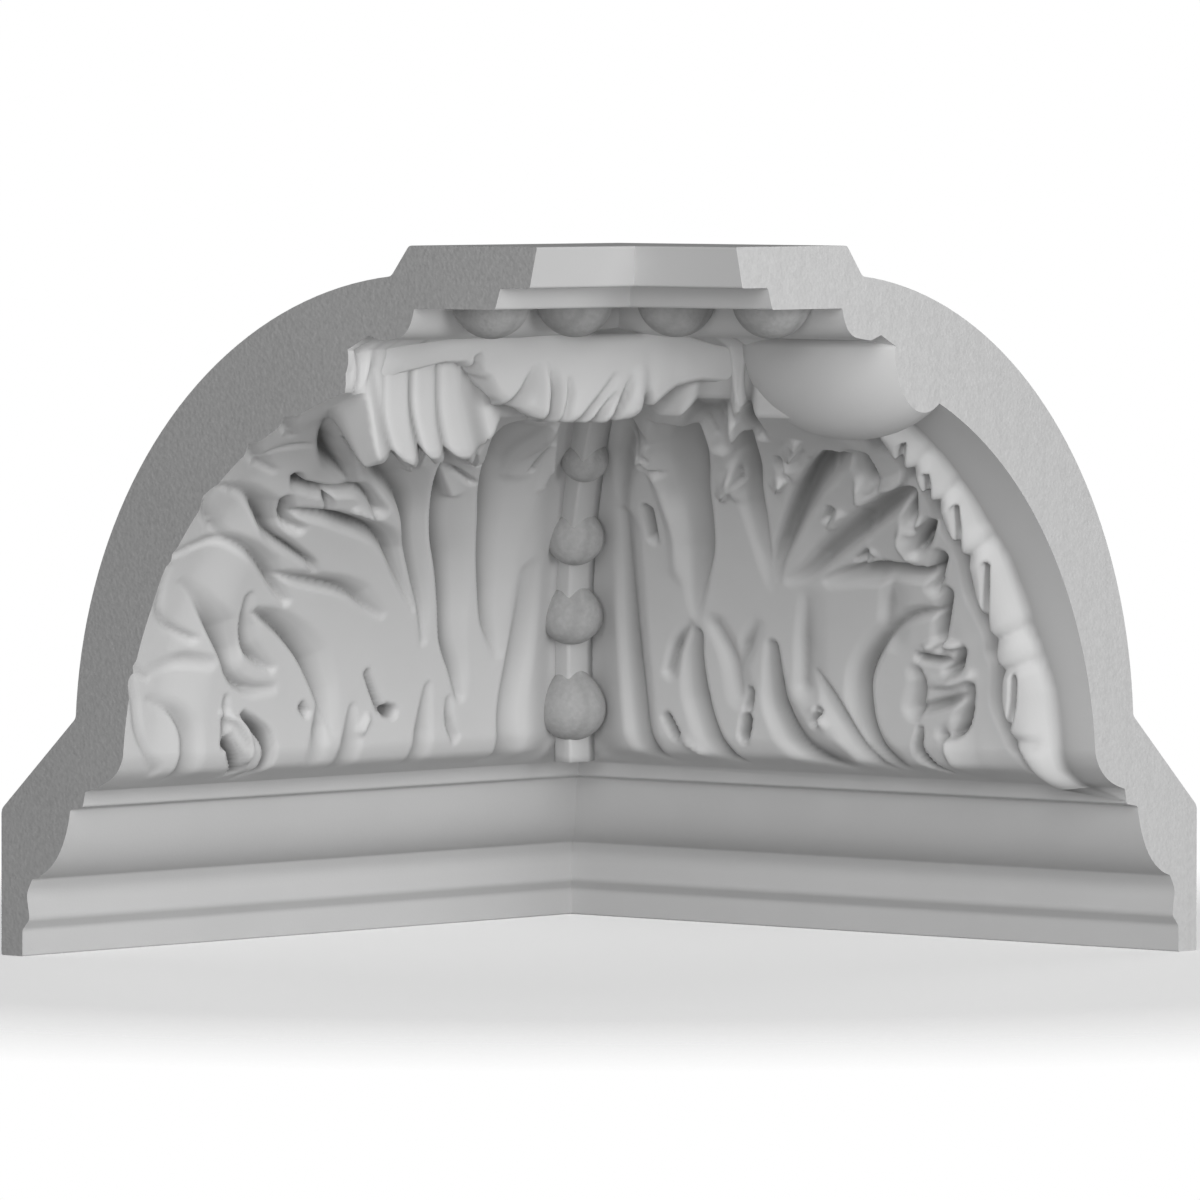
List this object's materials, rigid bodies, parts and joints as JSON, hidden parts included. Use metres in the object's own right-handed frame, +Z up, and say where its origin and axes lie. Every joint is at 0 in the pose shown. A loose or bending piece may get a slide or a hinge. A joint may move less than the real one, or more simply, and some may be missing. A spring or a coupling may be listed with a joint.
{
  "type": "inside corner moulding",
  "caption": "Inside corner piece of a deep coved crown moulding with carved acanthus, hung beads, smooth lobes and a pleated leaf tip, cast in one and sawn square at both ends.",
  "frame": {"origin": "on the floor plane under the middle of the piece's plan; the corner of the two walls is 183 mm towards -X and 180 mm towards -Y from it", "axes": "+Z up; the longer wing lies along +X with its back towards -Y, the other wing lies along +Y with its back towards -X"},
  "size_m": [0.366, 0.36, 0.305],
  "materials": {
    "primed_foam": "smooth factory primer on cast rigid polyurethane foam, with bare sawn foam at the two ends"
  },
  "bodies": {
    "root": {"corner_moulding": "primed_foam"}
  },
  "joints": []
}
